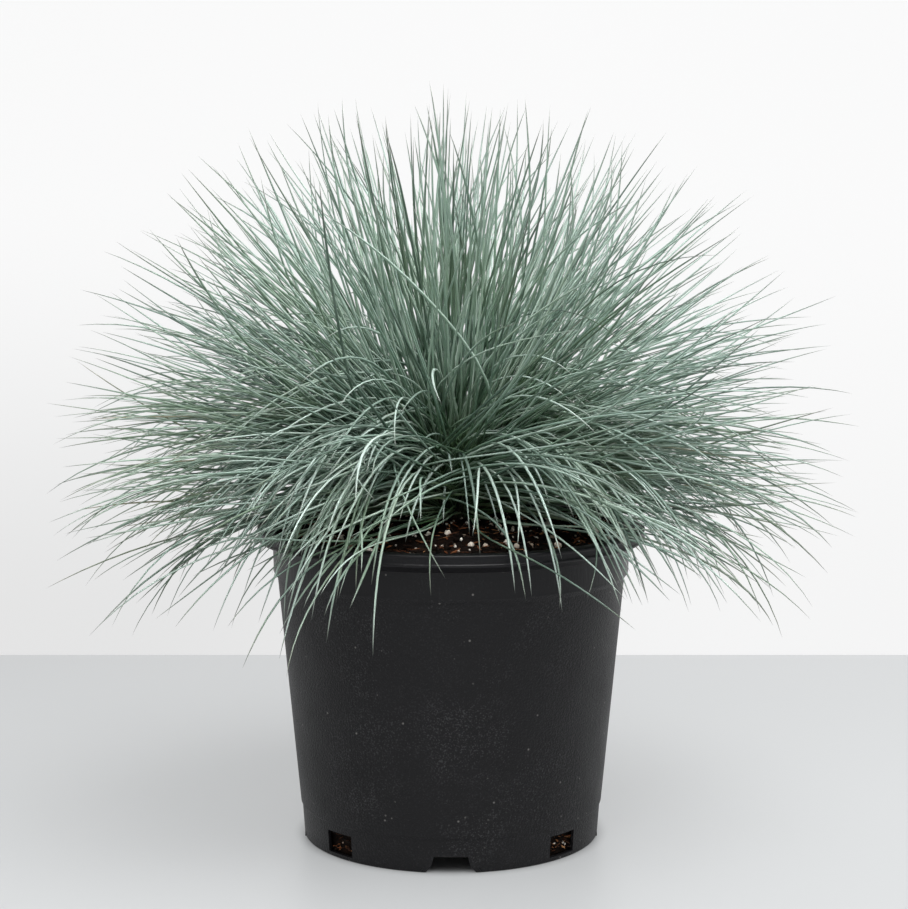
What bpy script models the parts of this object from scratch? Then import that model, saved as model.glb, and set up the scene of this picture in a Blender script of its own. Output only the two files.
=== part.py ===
"""Blue fescue clump in a 17 cm nursery pot.

Metres, +Z up. The origin is on the pot's axis, on the plane that the pot stands on.
The pieces are the pot, the potting soil in it, the crown that stands in the soil, and
the leaf tufts that grow from the crown. Each tuft is a sheath that parts into leaves.
"""

import math
import random

import bmesh
import bpy
from mathutils import Matrix, Vector, noise

MM = 0.001
GAP = 0.3 * MM
MERGE = 0.01 * MM

# Pot, as radii and heights
POT_HEIGHT = 137.4 * MM
RIM_RADIUS = 85.0 * MM
RIM_INNER_RADIUS = 79.0 * MM
LIP_HEIGHT = 4.2 * MM
LIP_ROUNDING = 0.7 * MM
LIP_UNDERSIDE = 129.2 * MM
LIP_THICKNESS = 3.0 * MM
COLLAR_RADIUS = 78.2 * MM
COLLAR_TAPER = 0.3 * MM
COLLAR_BOTTOM = 118.0 * MM
COLLAR_INNER_BOTTOM = 120.0 * MM
BODY_TOP_RADIUS = 76.2 * MM
BODY_TOP = 115.8 * MM
FOOT_STEP = 15.4 * MM
FOOT_STEP_RADIUS = 66.7 * MM
FOOT_STEP_DEPTH = 0.6 * MM
FOOT_STEP_DROP = 0.8 * MM
FOOT_RADIUS = 65.1 * MM
FOOT_ROUNDING = 0.9 * MM
WALL = 1.4 * MM
INNER_FOOT_RADIUS = 63.5 * MM
POT_SIDES = 40

# Underside of the pot: a raised middle, four channels that lead out of it, four windows
FLOOR_THICKNESS = 1.6 * MM
RECESS_RADIUS = 34.0 * MM
RECESS_HEIGHT = 7.4 * MM
RECESS_SLOPE = 3.0 * MM
RECESS_SKIN = 1.0 * MM
CHANNEL_HALF_WIDTHS = (7.1 * MM, 8.2 * MM, 11.2 * MM)
CHANNEL_HEIGHTS = (7.2 * MM, 3.0 * MM, -0.6 * MM)
CHANNEL_ANGLES = (0, 90, 180, 270)
CHANNEL_INNER_END = 33.0 * MM
TUNNEL_WALL = 1.5 * MM
TUNNEL_BOTTOM = 0.6 * MM
WINDOW_ANGLES = (46.5, 133.5, 226.5, 313.5)
WINDOW_WIDTH = 15.0 * MM
WINDOW_CUT_DEPTH = 12.0 * MM
WINDOW_BOTTOM = 2.0 * MM
WINDOW_TOP = 11.4 * MM

# Soil, heaped a little round the crown
SOIL_CLEARANCE = 2.0 * GAP
SOIL_EDGE_HEIGHT = 135.2 * MM
SOIL_HEAP = 6.6 * MM
SOIL_HEAP_POWER = 1.6
SOIL_LUMP = 2.6 * MM
SOIL_LUMP_SIZE = 11.0 * MM
LUMPS_FROM = 16.0 * MM
LUMP_FADE = 13.0 * MM
SOIL_SIDES = 24
SOIL_RINGS = 5

# Crown, a ball that stands in a pit in the soil
CROWN_RADIUS = 10.5 * MM
CROWN_CENTRE = 145.5 * MM
CROWN_PIT_RADIUS = 10.6 * MM
CROWN_PIT_DEPTH = 4.0 * MM
CROWN_PIT_FLARE = 0.8 * MM

# Tufts, set on the crown by the golden angle
TUFTS = 46
LEAVES = 5
GOLDEN_ANGLE = math.radians(137.508)
LOWEST_TUFT = math.radians(81.0)
TOP_LEAF = 177.5 * MM
SKIRT_LEAF = 192.0 * MM
CLUMP_REACH = 173.0 * MM
DROOP = math.radians(95.0)
DROOP_POWER = 2.1
LOWNESS_POWER = 4
LEAF_SPREAD = math.radians(6.0)
SPREAD_RANGE = (0.75, 1.15)
LENGTH_RANGE = (0.86, 1.0)
SHEATH_LENGTH = 11.0 * MM
SHEATH_RADIUS = 1.45 * MM
SHEATH_TOP_RADIUS = 2.7 * MM
STRAIGHT_STATIONS = (0.35, 0.7, 1.0)
BENT_STATIONS = (0.15, 0.38, 0.56, 0.72, 0.87, 1.0)
BENT_FROM = math.radians(44.0)
TIP_THINNING = 0.5
PATH_STEPS = 60
SEED = 7


def clear_scene():
    for item in list(bpy.data.objects):
        bpy.data.objects.remove(item, do_unlink=True)


def new_collection(name):
    collection = bpy.data.collections.new(name)
    bpy.context.scene.collection.children.link(collection)
    return collection


def new_material(name, colour, roughness, metallic=0.0):
    material = bpy.data.materials.new(name)
    material.use_nodes = True
    shader = material.node_tree.nodes["Principled BSDF"]
    shader.inputs["Base Color"].default_value = (*colour, 1.0)
    shader.inputs["Roughness"].default_value = roughness
    shader.inputs["Metallic"].default_value = metallic
    material.diffuse_color = (*colour, 1.0)
    return material


def object_from_bmesh(bm, name, collection, material=None):
    mesh = bpy.data.meshes.new(name)
    bm.to_mesh(mesh)
    bm.free()
    if material:
        mesh.materials.append(material)
    item = bpy.data.objects.new(name, mesh)
    collection.objects.link(item)
    return item


def mark_as_cutter(item):
    item.hide_render = True
    item.display_type = "WIRE"


def profile_object(points, name, collection, material=None):
    """An open outline of (radius, height) points, drawn on the +X side."""
    bm = bmesh.new()
    corners = [bm.verts.new((radius, 0.0, height)) for radius, height in points]
    for start, end in zip(corners, corners[1:]):
        bm.edges.new((start, end))
    return object_from_bmesh(bm, name, collection, material)


def add_screw(item, sides):
    screw = item.modifiers.new("Turn", "SCREW")
    screw.steps = sides
    screw.render_steps = sides
    screw.use_merge_vertices = True
    screw.merge_threshold = MERGE
    screw.use_normal_calculate = True


def add_boolean(item, other, operation):
    boolean = item.modifiers.new(other.name, "BOOLEAN")
    boolean.operation = operation
    boolean.solver = "EXACT"
    boolean.object = other


def pot_profile():
    """Down the outside, in under the floor, and back up the inside."""
    outside = [
        (RIM_INNER_RADIUS, POT_HEIGHT),
        (RIM_RADIUS - LIP_ROUNDING, POT_HEIGHT),
        (RIM_RADIUS, POT_HEIGHT - LIP_ROUNDING),
        (RIM_RADIUS, POT_HEIGHT - LIP_HEIGHT),
        (COLLAR_RADIUS, LIP_UNDERSIDE),
        (COLLAR_RADIUS - COLLAR_TAPER, COLLAR_BOTTOM),
        (BODY_TOP_RADIUS, BODY_TOP),
        (FOOT_STEP_RADIUS, FOOT_STEP),
        (FOOT_STEP_RADIUS - FOOT_STEP_DEPTH, FOOT_STEP - FOOT_STEP_DROP),
        (FOOT_RADIUS, FOOT_ROUNDING),
        (FOOT_RADIUS - FOOT_ROUNDING, 0.0),
    ]
    underside = [
        (RECESS_RADIUS + RECESS_SLOPE, 0.0),
        (RECESS_RADIUS, RECESS_HEIGHT),
        (0.0, RECESS_HEIGHT),
    ]
    inside = [
        (0.0, RECESS_HEIGHT + FLOOR_THICKNESS),
        (RECESS_RADIUS + RECESS_SKIN, RECESS_HEIGHT + FLOOR_THICKNESS),
        (RECESS_RADIUS + RECESS_SLOPE + RECESS_SKIN, FLOOR_THICKNESS),
        (INNER_FOOT_RADIUS, FLOOR_THICKNESS),
        (BODY_TOP_RADIUS - WALL, BODY_TOP),
        (COLLAR_RADIUS - WALL, COLLAR_INNER_BOTTOM),
        (COLLAR_RADIUS - WALL, LIP_UNDERSIDE + LIP_THICKNESS),
        (RIM_INNER_RADIUS, POT_HEIGHT),
    ]
    return outside + underside + inside


def radial_bars(name, outline, inner, outer, collection):
    """Four bars with one cross-section, laid out from the axis like spokes."""
    bm = bmesh.new()
    for angle in CHANNEL_ANGLES:
        corners = [bm.verts.new((across, inner, height)) for across, height in outline]
        face = bm.faces.new(corners)
        extruded = bmesh.ops.extrude_face_region(bm, geom=[face])["geom"]
        far_end = [part for part in extruded if isinstance(part, bmesh.types.BMVert)]
        bmesh.ops.translate(bm, verts=far_end, vec=(0.0, outer - inner, 0.0))
        turn = Matrix.Rotation(math.radians(angle), 3, "Z")
        bmesh.ops.rotate(bm, verts=corners + far_end, cent=(0.0, 0.0, 0.0), matrix=turn)
    bmesh.ops.recalc_face_normals(bm, faces=bm.faces)
    bars = object_from_bmesh(bm, name, collection)
    mark_as_cutter(bars)
    return bars


def channel_outline(growth, bottom):
    """The channel's cross-section, larger by growth at its sides and top."""
    half = [width + growth for width in CHANNEL_HALF_WIDTHS]
    heights = [CHANNEL_HEIGHTS[0] + growth, CHANNEL_HEIGHTS[1] + growth, bottom]
    right = list(zip(half, heights))
    left = [(-width, height) for width, height in reversed(right)]
    return right + left


def window_boxes(collection):
    bm = bmesh.new()
    height = WINDOW_TOP - WINDOW_BOTTOM
    for angle in WINDOW_ANGLES:
        turn = Matrix.Rotation(math.radians(angle), 4, "Z")
        place = Matrix.Translation((0.0, FOOT_RADIUS, WINDOW_BOTTOM + height / 2))
        size = Matrix.Diagonal((WINDOW_WIDTH, WINDOW_CUT_DEPTH, height, 1.0))
        bmesh.ops.create_cube(bm, size=1.0, matrix=turn @ place @ size)
    boxes = object_from_bmesh(bm, "drain_windows", collection)
    mark_as_cutter(boxes)
    return boxes


def make_pot(collection, cutters):
    plastic = new_material("black_pot_plastic", (0.021, 0.020, 0.022), 0.55)
    pot = profile_object(pot_profile(), "nursery_pot", collection, plastic)
    add_screw(pot, POT_SIDES)
    tunnel = channel_outline(TUNNEL_WALL, TUNNEL_BOTTOM)
    wall_middle = FOOT_RADIUS - WALL / 2
    tunnels = radial_bars("tunnel_walls", tunnel, CHANNEL_INNER_END, wall_middle, cutters)
    channel = channel_outline(0.0, CHANNEL_HEIGHTS[2])
    inner_end = CHANNEL_INNER_END - TUNNEL_WALL
    channels = radial_bars("foot_channels", channel, inner_end, 1.2 * FOOT_RADIUS, cutters)
    add_boolean(pot, tunnels, "UNION")
    add_boolean(pot, channels, "DIFFERENCE")
    add_boolean(pot, window_boxes(cutters), "DIFFERENCE")


def soil_height(radius):
    """Height of the soil without its lumps: level by the wall, highest at the crown."""
    share = min(radius / (COLLAR_RADIUS - WALL), 1.0)
    return SOIL_EDGE_HEIGHT + SOIL_HEAP * (1.0 - share ** SOIL_HEAP_POWER)


def lump(x, y):
    """Rise or dip of the soil, which fades out beside the crown and at the wall."""
    radius = math.hypot(x, y)
    rise = noise.noise(Vector((x, y, 0.0)) / SOIL_LUMP_SIZE)
    from_crown = min(max((radius - LUMPS_FROM) / LUMP_FADE, 0.0), 1.0)
    from_wall = min(max((COLLAR_RADIUS - radius) / LUMP_FADE, 0.0), 1.0)
    return SOIL_LUMP * rise * from_crown * from_wall


def soil_profile():
    """Out over the top from the crown's pit, down beside the wall, in over the floor."""
    top_radius = COLLAR_RADIUS - WALL - SOIL_CLEARANCE
    pit_floor = soil_height(0.0) - CROWN_PIT_DEPTH
    pit_edge = CROWN_PIT_RADIUS + CROWN_PIT_FLARE
    top = [(0.0, pit_floor), (CROWN_PIT_RADIUS, pit_floor)]
    for ring in range(SOIL_RINGS + 1):
        radius = pit_edge + (top_radius - pit_edge) * ring / SOIL_RINGS
        top.append((radius, soil_height(radius)))
    side = [
        (top_radius, COLLAR_INNER_BOTTOM),
        (BODY_TOP_RADIUS - WALL - SOIL_CLEARANCE, BODY_TOP),
        (INNER_FOOT_RADIUS - SOIL_CLEARANCE, FLOOR_THICKNESS + GAP),
    ]
    recess_edge = RECESS_RADIUS + RECESS_SKIN + SOIL_CLEARANCE
    floor = [
        (recess_edge + RECESS_SLOPE, FLOOR_THICKNESS + GAP),
        (recess_edge, RECESS_HEIGHT + FLOOR_THICKNESS + GAP),
        (0.0, RECESS_HEIGHT + FLOOR_THICKNESS + GAP),
    ]
    return top + side + floor


def make_soil(collection, cutters):
    earth = new_material("dark_potting_soil", (0.028, 0.020, 0.014), 0.95)
    bm = bmesh.new()
    corners = [bm.verts.new((radius, 0.0, height)) for radius, height in soil_profile()]
    edges = [bm.edges.new(pair) for pair in zip(corners, corners[1:])]
    bmesh.ops.spin(
        bm, geom=corners + edges, cent=(0, 0, 0), axis=(0, 0, 1),
        angle=2 * math.pi, steps=SOIL_SIDES, use_merge=True,
    )
    bmesh.ops.remove_doubles(bm, verts=bm.verts, dist=MERGE)
    for vert in bm.verts:
        if vert.co.z > COLLAR_INNER_BOTTOM + MERGE:
            vert.co.z += lump(vert.co.x, vert.co.y)
    bmesh.ops.recalc_face_normals(bm, faces=bm.faces)
    soil = object_from_bmesh(bm, "potting_soil", collection, earth)
    outline = channel_outline(TUNNEL_WALL + SOIL_CLEARANCE, TUNNEL_BOTTOM)
    inner_end = CHANNEL_INNER_END - SOIL_CLEARANCE
    room = radial_bars("tunnel_room", outline, inner_end, 1.2 * FOOT_RADIUS, cutters)
    add_boolean(soil, room, "DIFFERENCE")


def make_crown(collection):
    """A ball with its foot cut flat, where it stands on the floor of its pit."""
    sheath = new_material("leaf_sheath_base", (0.075, 0.080, 0.038), 0.8)
    bm = bmesh.new()
    bmesh.ops.create_uvsphere(bm, u_segments=16, v_segments=9, radius=CROWN_RADIUS)
    foot = soil_height(0.0) - CROWN_PIT_DEPTH + GAP - CROWN_CENTRE
    everything = bm.verts[:] + bm.edges[:] + bm.faces[:]
    bmesh.ops.bisect_plane(
        bm, geom=everything, dist=MERGE, plane_co=(0, 0, foot), plane_no=(0, 0, 1), clear_inner=True,
    )
    rim = [edge for edge in bm.edges if edge.is_boundary]
    bmesh.ops.contextual_create(bm, geom=rim)
    bmesh.ops.recalc_face_normals(bm, faces=bm.faces)
    crown = object_from_bmesh(bm, "fescue_crown", collection, sheath)
    crown.location.z = CROWN_CENTRE


def heading(polar, azimuth):
    """Unit vector at an angle from straight up, towards a compass azimuth."""
    across = math.sin(polar)
    return Vector((across * math.cos(azimuth), across * math.sin(azimuth), math.cos(polar)))


def tuft_heading(index):
    """Tufts spread evenly over the crown, each a golden angle round from the last."""
    share = (index + 0.5) / TUFTS
    polar = math.acos(1.0 - share * (1.0 - math.cos(LOWEST_TUFT)))
    return heading(polar, index * GOLDEN_ANGLE)


def lowness(direction):
    """0 for a leaf that starts straight up, near 1 for one that starts out level."""
    return (1.0 - direction.z ** 2) ** (LOWNESS_POWER / 2)


def leaf_path(start, direction, length):
    """Points and headings along a leaf, which bends down more the lower it starts out."""
    polar = math.acos(max(-1.0, min(1.0, direction.z)))
    azimuth = math.atan2(direction.y, direction.x)
    droop = DROOP * lowness(direction)
    step = length / PATH_STEPS
    point = start.copy()
    points = [point]
    headings = [direction.copy()]
    for number in range(1, PATH_STEPS + 1):
        share = number / PATH_STEPS
        ahead = heading(polar + droop * share ** DROOP_POWER, azimuth)
        last_reach = max(abs(point.x), abs(point.y))
        point = point + ahead * step
        reach = max(abs(point.x), abs(point.y))
        headings.append(ahead)
        if reach > CLUMP_REACH:
            share_left = (CLUMP_REACH - last_reach) / (reach - last_reach)
            points.append(points[-1].lerp(point, share_left))
            break
        points.append(point)
    return points, headings


def grow_leaf(bm, face, direction, length):
    """Extrude one face of a sheath's end along its own path to a point."""
    start = face.calc_center_median()
    offsets = [corner.co - start for corner in face.verts]
    points, headings = leaf_path(start, direction, length)
    bent = direction.angle(Vector((0, 0, 1))) > BENT_FROM
    for share in BENT_STATIONS if bent else STRAIGHT_STATIONS:
        face = bmesh.ops.extrude_discrete_faces(bm, faces=[face])["faces"][0]
        place = round(share * (len(points) - 1))
        turn = headings[0].rotation_difference(headings[place])
        thickness = 1.0 - TIP_THINNING * share ** 2
        for corner, offset in zip(face.verts, offsets):
            corner.co = points[place] + turn @ (offset * thickness)
    bmesh.ops.pointmerge(bm, verts=face.verts[:], merge_co=points[-1])


def make_tuft(index, collection, material):
    """A sheath with five faces at its end, each of which grows into a leaf."""
    chance = random.Random(SEED * 1000 + index)
    axis = tuft_heading(index)
    aim = axis.to_track_quat("Z", "Y").to_matrix().to_4x4()
    twist = Matrix.Rotation(chance.uniform(0.0, 2 * math.pi), 4, "Z")
    foot = axis * (CROWN_RADIUS + GAP)
    bm = bmesh.new()
    bmesh.ops.create_circle(
        bm, cap_ends=True, cap_tris=True, segments=LEAVES, radius=SHEATH_RADIUS,
        matrix=Matrix.Translation(foot) @ aim @ twist,
    )
    bmesh.ops.reverse_faces(bm, faces=bm.faces)
    sheath_end = bmesh.ops.extrude_face_region(bm, geom=bm.faces[:])["geom"]
    end_faces = [part for part in sheath_end if isinstance(part, bmesh.types.BMFace)]
    end_verts = [part for part in sheath_end if isinstance(part, bmesh.types.BMVert)]
    centre = foot + axis * SHEATH_LENGTH
    for vert in end_verts:
        vert.co = centre + (vert.co - foot) * (SHEATH_TOP_RADIUS / SHEATH_RADIUS)
    full_length = TOP_LEAF + (SKIRT_LEAF - TOP_LEAF) * lowness(axis) - SHEATH_LENGTH
    for face in end_faces:
        outward = (face.calc_center_median() - centre).normalized()
        spread = LEAF_SPREAD * chance.uniform(*SPREAD_RANGE)
        direction = (axis * math.cos(spread) + outward * math.sin(spread)).normalized()
        grow_leaf(bm, face, direction, full_length * chance.uniform(*LENGTH_RANGE))
    bmesh.ops.recalc_face_normals(bm, faces=bm.faces)
    tuft = object_from_bmesh(bm, f"tuft_{index + 1:02d}", collection, material)
    tuft.location.z = CROWN_CENTRE


def main():
    clear_scene()
    plant = new_collection("potted_blue_fescue")
    cutters = new_collection("cutters")
    leaf = new_material("blue_fescue_leaf", (0.19, 0.28, 0.24), 0.5)
    make_pot(plant, cutters)
    make_soil(plant, cutters)
    make_crown(plant)
    for index in range(TUFTS):
        make_tuft(index, plant, leaf)


main()
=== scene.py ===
"""Finish of a potted blue fescue clump: fine leaves, crown, potting mix and black pot.

Metres, +Z up, origin on the pot's axis where it stands. Every piece is laid round the
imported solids, which it either dresses or stands for.
"""

import math

import bmesh
import bpy
import numpy as np
from mathutils import Matrix, Vector, noise


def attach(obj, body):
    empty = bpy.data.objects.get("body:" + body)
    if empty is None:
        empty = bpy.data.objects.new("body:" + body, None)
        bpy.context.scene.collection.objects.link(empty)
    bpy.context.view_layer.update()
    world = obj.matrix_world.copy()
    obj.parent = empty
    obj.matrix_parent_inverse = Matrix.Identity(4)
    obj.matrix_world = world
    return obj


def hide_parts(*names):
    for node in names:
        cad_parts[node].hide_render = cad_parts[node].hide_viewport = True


MM = 0.001
FULL_TURN = 2 * math.pi

# Pot, as radii and heights
POT_HEIGHT = 137.4 * MM
RIM_RADIUS = 85.0 * MM
RIM_INNER_RADIUS = 79.0 * MM
LIP_HEIGHT = 4.2 * MM
LIP_ROUNDING = 0.7 * MM
LIP_BEAD = 1.2 * MM
LIP_HOLLOW = 0.4 * MM
LIP_UNDERSIDE = 129.2 * MM
LIP_THICKNESS = 3.0 * MM
COLLAR_RADIUS = 78.2 * MM
COLLAR_TAPER = 0.3 * MM
COLLAR_BOTTOM = 118.0 * MM
COLLAR_INNER_BOTTOM = 120.0 * MM
BODY_TOP_RADIUS = 76.2 * MM
BODY_TOP = 115.8 * MM
FOOT_STEP = 15.4 * MM
FOOT_STEP_RADIUS = 66.7 * MM
FOOT_STEP_DEPTH = 0.6 * MM
FOOT_STEP_DROP = 0.8 * MM
FOOT_RADIUS = 65.1 * MM
FOOT_ROUNDING = 0.9 * MM
WALL = 1.4 * MM
INNER_FOOT_RADIUS = 63.5 * MM
POT_STEPS = 160

# Underside of the pot
FLOOR_THICKNESS = 1.6 * MM
RECESS_RADIUS = 34.0 * MM
RECESS_HEIGHT = 7.4 * MM
RECESS_SLOPE = 3.0 * MM
RECESS_SKIN = 1.0 * MM
CHANNEL_HALF_WIDTHS = (7.1 * MM, 8.2 * MM, 11.2 * MM)
CHANNEL_HEIGHTS = (7.2 * MM, 3.0 * MM, -0.6 * MM)
CHANNEL_INNER_END = 33.0 * MM
TUNNEL_WALL = 1.5 * MM
TUNNEL_BOTTOM = 0.6 * MM
QUARTERS = (0, 90, 180, 270)
WINDOW_ANGLES = (46.5, 133.5, 226.5, 313.5)
WINDOW_WIDTH = 15.0 * MM
WINDOW_DEPTH = 12.0 * MM
WINDOW_BOTTOM = 2.0 * MM
WINDOW_TOP = 11.4 * MM

# Potting mix
SOIL_GAP = 0.6 * MM
SOIL_EDGE_HEIGHT = 135.2 * MM
SOIL_HEAP = 6.6 * MM
SOIL_HEAP_POWER = 1.6
SOIL_LUMP = 2.6 * MM
SOIL_LUMP_SIZE = 11.0 * MM
LUMPS_FROM = 16.0 * MM
LUMP_FADE = 13.0 * MM
SOIL_STEPS = 240
SOIL_RINGS = 76
PERLITE_GRAINS = 420
WINDOW_GRAINS = 48
WINDOW_FIBRES = 260

# Crown and leaves
CROWN_CENTRE = 145.5 * MM
CROWN_RADIUS = 10.5 * MM
NECK_RADIUS = 8.5 * MM
TUFTS = 46
GOLDEN_ANGLE = math.radians(137.508)
LOWEST_TUFT = math.radians(81.0)
TOP_LEAF = 177.5 * MM
SKIRT_LEAF = 192.0 * MM
LOWNESS_POWER = 4
DOME_BLADES = 1430
SKIRT_BLADES = 700
ARCHING_BLADES = 120
FRONT_ARCHES = 210
RIM_ARCHES = 80
ARCH_SHARPNESS = 2.4
LATE = 10.0
WIDEST_REACH = 176 * MM
FRONT = math.radians(-90)
CLEAR_SIDE = math.radians(-83)
CLEAR_SPREAD = math.radians(34)
BLADE_SPANS = 16
BLADE_SIDES = 4
STATIONS = 1.0 - (1.0 - np.linspace(0.0, 1.0, BLADE_SPANS + 1)) ** 1.15

# Leaves that stand out in front, one a line: side from the front, lean at the foot and
# bend in degrees, share of the length at which half the bend is done, length in mm
FRONT_LEAVES = (
    (-30, -8, 160, 0.55, 128),
    (-45, -6, 130, 0.76, 118),
    (-52, -6, 125, 0.80, 108),
    (-40, 4, 150, 0.90, 104),
    (32, -6, 138, 0.27, 172),
    (6, 8, 165, 0.55, 96),
    (18, 10, 150, 0.48, 82),
    (-12, 6, 165, 0.50, 74),
    (8, 58, 112, 0.70, 120),
    (14, 55, 115, 0.68, 124),
    (22, 52, 120, 0.64, 122),
    (27, 50, 115, 0.58, 136),
    (32, 45, 105, 0.50, 158),
    (36, 30, 118, 0.45, 166),
    (48, 25, 118, 0.42, 150),
    (44, 52, 92, 0.50, 150),
    (55, 20, 115, 0.45, 160),
    (-18, 60, 112, 0.66, 156),
    (-17, 52, 120, 0.62, 128),
    (-24, 58, 110, 0.62, 152),
    (-29, 54, 108, 0.60, 152),
    (-36, 50, 112, 0.55, 148),
    (-44, 48, 105, 0.60, 138),
    (-40, 38, 118, 0.50, 132),
    (-55, 35, 100, 0.52, 142),
    (-62, 20, 105, 0.55, 150),
    (-50, 12, 112, 0.66, 140),
    (58, 10, 105, 0.66, 134),
    (66, 22, 95, 0.62, 150),
    (42, 4, 120, 0.72, 124),
    (-70, 55, 70, 0.55, 66),
    (-95, 52, 70, 0.55, 58),
    (-45, 60, 62, 0.60, 62),
    (60, 55, 72, 0.55, 64),
    (85, 48, 70, 0.60, 58),
    (-34, 52, 98, 0.60, 146),
    (-27, 44, 118, 0.56, 150),
    (-50, 46, 96, 0.58, 150),
    (-58, 50, 88, 0.60, 150),
    (38, 50, 104, 0.56, 146),
    (46, 40, 116, 0.52, 152),
    (52, 46, 100, 0.56, 150),
    (60, 44, 94, 0.58, 148),
)

SEED = 11


class Wire:
    """A shader socket. Arithmetic on it adds Math nodes."""

    def __init__(self, surface, socket):
        self.surface = surface
        self.socket = socket

    def math(self, operation, *values):
        return self.surface.node("ShaderNodeMath", dict(enumerate(values)), operation=operation)

    def __add__(self, other):
        return self.math("ADD", self, other)

    def __sub__(self, other):
        return self.math("SUBTRACT", self, other)

    def __rsub__(self, other):
        return self.math("SUBTRACT", other, self)

    def __mul__(self, other):
        return self.math("MULTIPLY", self, other)

    def __pow__(self, other):
        return self.math("POWER", self, other)

    __radd__ = __add__
    __rmul__ = __mul__


class Surface:
    """A material, its Principled shader and the nodes that feed it."""

    def __init__(self, name):
        self.material = bpy.data.materials.new(name)
        self.material.use_nodes = True
        self.tree = self.material.node_tree
        self.shader = self.tree.nodes["Principled BSDF"]

    def node(self, kind, inputs=None, out=0, stops=None, **settings):
        """Adds a node, sets it up, feeds its sockets, and returns one of its outputs."""
        made = self.tree.nodes.new(kind)
        for name, value in settings.items():
            setattr(made, name, value)
        if stops:
            elements = made.color_ramp.elements
            while len(elements) < len(stops):
                elements.new(1.0)
            for element, (place, colour) in zip(elements, stops):
                element.position = place
                element.color = (*colour, 1.0)
        for key, value in (inputs or {}).items():
            self.feed(made.inputs[key], value)
        return Wire(self, made.outputs[out])

    def feed(self, socket, value):
        if isinstance(value, Wire):
            self.tree.links.new(value.socket, socket)
        elif isinstance(value, tuple) and len(value) == 3 and socket.type == "RGBA":
            socket.default_value = (*value, 1.0)
        else:
            socket.default_value = value

    def set(self, **values):
        """Feeds the shader's own sockets; an underscore stands for a space."""
        for name, value in values.items():
            self.feed(self.shader.inputs[name.replace("_", " ")], value)

    def traits(self):
        """Share of the length, shade, dryness and upper side, as stored on the mesh."""
        stored = self.node("ShaderNodeAttribute", out="Color", attribute_name="traits")
        upper = self.node("ShaderNodeAttribute", out="Alpha", attribute_name="traits")
        parts = [self.node("ShaderNodeSeparateColor", {0: stored}, out=part) for part in range(3)]
        return (*parts, upper)

    def place(self, scale=(1.0, 1.0, 1.0)):
        where = self.node("ShaderNodeTexCoord", out="Object")
        return self.node("ShaderNodeMapping", {"Vector": where, "Scale": scale})

    def noise(self, where, scale, detail=2.0, roughness=0.5):
        inputs = {"Vector": where, "Scale": scale, "Detail": detail, "Roughness": roughness}
        return self.node("ShaderNodeTexNoise", inputs)

    def grade(self, value, low, high, start=0.0, end=1.0):
        """Value moved smoothly from low..high to start..end, and held at those ends."""
        inputs = {0: value, 1: low, 2: high, 3: start, 4: end}
        return self.node("ShaderNodeMapRange", inputs, interpolation_type="SMOOTHSTEP")

    def mix(self, share, first, second, blend="MIX"):
        inputs = {0: share, 6: first, 7: second}
        return self.node("ShaderNodeMix", inputs, out=2, data_type="RGBA", blend_type=blend)

    def ramp(self, value, stops):
        return self.node("ShaderNodeValToRGB", {0: value}, stops=stops)

    def bump(self, height, strength, distance):
        inputs = {"Height": height, "Strength": strength, "Distance": distance}
        return self.node("ShaderNodeBump", inputs)


def leaf_finish():
    """Waxy blue-green, greener at the foot, with dull points and a few straw-coloured leaves. Painted shade darkens
    the foot and each leaf's underside, and wax bloom with painted light pales each leaf towards its point.
    """
    leaf = Surface("glaucous_leaf")
    along, tone, dryness, upper = leaf.traits()
    waxy = leaf.ramp(tone, [
        (0.0, (0.053, 0.102, 0.070)),
        (0.45, (0.228, 0.345, 0.272)),
        (1.0, (0.585, 0.700, 0.615)),
    ])
    # Greener and darker towards the foot: the leaf's own green base, darkened further as painted shade of the
    # crowded core.
    foot = leaf.grade(along, 0.05, 0.54)
    colour = leaf.mix(foot, (0.042, 0.108, 0.020), waxy)
    # Paler towards the points: partly the leaf's wax bloom, partly painted light where the points catch more light.
    bloom_and_painted_light = leaf.grade(along, 0.35, 0.85, 0.0, 0.75) * (0.2 + 0.8 * tone)
    colour = leaf.mix(bloom_and_painted_light, colour, (0.560, 0.690, 0.640))
    mottle = leaf.noise(leaf.place(), 45.0, 2.0)
    colour = leaf.mix(leaf.grade(mottle, 0.35, 0.7, 0.0, 0.16), colour, (0.52, 0.61, 0.55))
    stands = leaf.noise(leaf.place(), 14.0, 1.0)
    colour = leaf.mix(leaf.grade(stands, 0.48, 0.66, 0.0, 0.3), colour, (0.190, 0.285, 0.125))
    # Each leaf's underside darkened to about half: painted shade on the side facing down, with the upper side left
    # at full colour.
    under = leaf.mix(1.0, colour, (0.55, 0.62, 0.55), blend="MULTIPLY")
    colour = leaf.mix(leaf.grade(upper, 0.05, 0.75), under, colour)
    point = leaf.grade(along, 0.84, 1.0, 0.0, 0.7)
    colour = leaf.mix(point, colour, (0.220, 0.220, 0.190))
    colour = leaf.mix(dryness, colour, (0.330, 0.280, 0.160))
    grain = leaf.noise(leaf.place(), 1500.0, 2.0)
    leaf.set(
        Base_Color=colour,
        Roughness=leaf.grade(mottle, 0.2, 0.8, 0.38, 0.54),
        Normal=leaf.bump(grain, 0.1, 0.1 * MM),
        Specular_IOR_Level=0.38,
    )
    return leaf.material


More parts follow.
